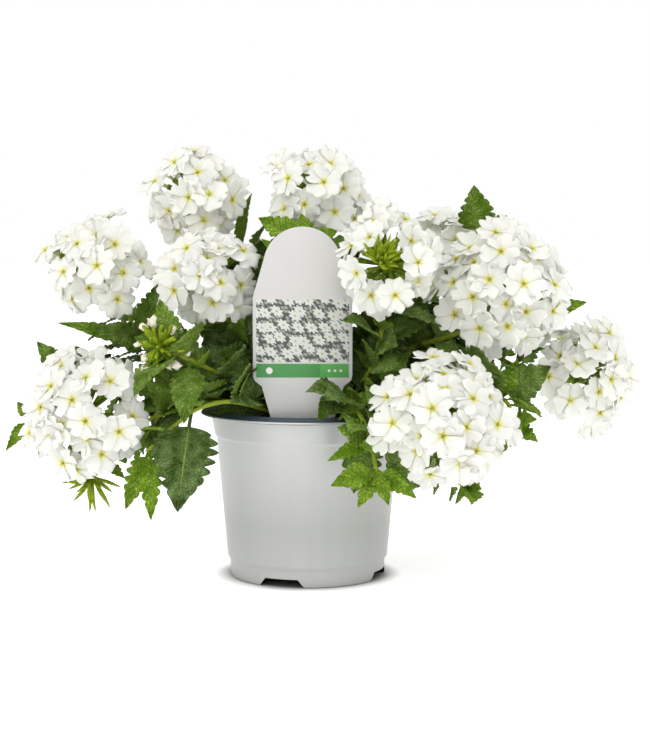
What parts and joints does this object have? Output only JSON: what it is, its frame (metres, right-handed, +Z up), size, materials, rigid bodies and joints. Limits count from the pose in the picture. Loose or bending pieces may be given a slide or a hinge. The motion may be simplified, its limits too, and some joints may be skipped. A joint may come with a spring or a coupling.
{
  "type": "potted verbena",
  "caption": "Potted verbena with ball-shaped white flower heads, toothed green leaves, a pale grey nursery pot and a plant tag.",
  "frame": {"origin": "centre of the pot's underside, on the surface that it stands on", "axes": "+Z up, the plant's front with the tag towards -Y, +X to the right when it is seen from the front"},
  "size_m": [0.3316, 0.2348, 0.2293],
  "materials": {
    "pot": "satin silver-grey moulded plastic, dark slate rim and inside",
    "soil": "moist dark peat and fine bark",
    "tag": "thin printed plastic sheet, soft sheen",
    "petals": "soft translucent white petals with a yellow-green eye",
    "leaves": "quilted, finely hairy green leaves on pale green stems",
    "buds": "hairy yellow-green flower buds"
  },
  "bodies": {
    "root": {"pot": "pot", "soil": "soil", "plant_tag": "tag", "young_buds": "buds", "head_top_left": "petals", "head_left": "petals", "head_mid_left": "petals", "head_top_mid": "petals", "head_mid_right": "petals", "head_right": "petals", "head_far_right": "petals", "head_low_left": "petals", "head_low_right": "petals", "head_top_right": "petals", "head_back_left": "petals", "head_back_mid": "petals", "head_back_right": "petals", "stem_top_left": "leaves", "stem_left": "leaves", "stem_mid_left": "leaves", "stem_top_mid": "leaves", "stem_mid_right": "leaves", "stem_right": "leaves", "stem_far_right": "leaves", "stem_low_left": "leaves", "stem_low_right": "leaves", "stem_top_right": "leaves", "stem_back_left": "leaves", "stem_back_mid": "leaves", "stem_back_right": "leaves", "stem_left_shoot": "leaves", "stem_fan_shoot": "leaves", "stem_buds_left": "leaves", "stem_over_left": "leaves", "stem_front_shoot": "leaves", "stem_low_right_shoot": "leaves", "stem_right_shoot": "leaves", "stem_top_shoot": "leaves", "stem_side_shoot": "leaves", "stem_tag_shoot": "leaves", "stem_back_shoot_left": "leaves", "stem_back_shoot_right": "leaves"}
  },
  "joints": []
}
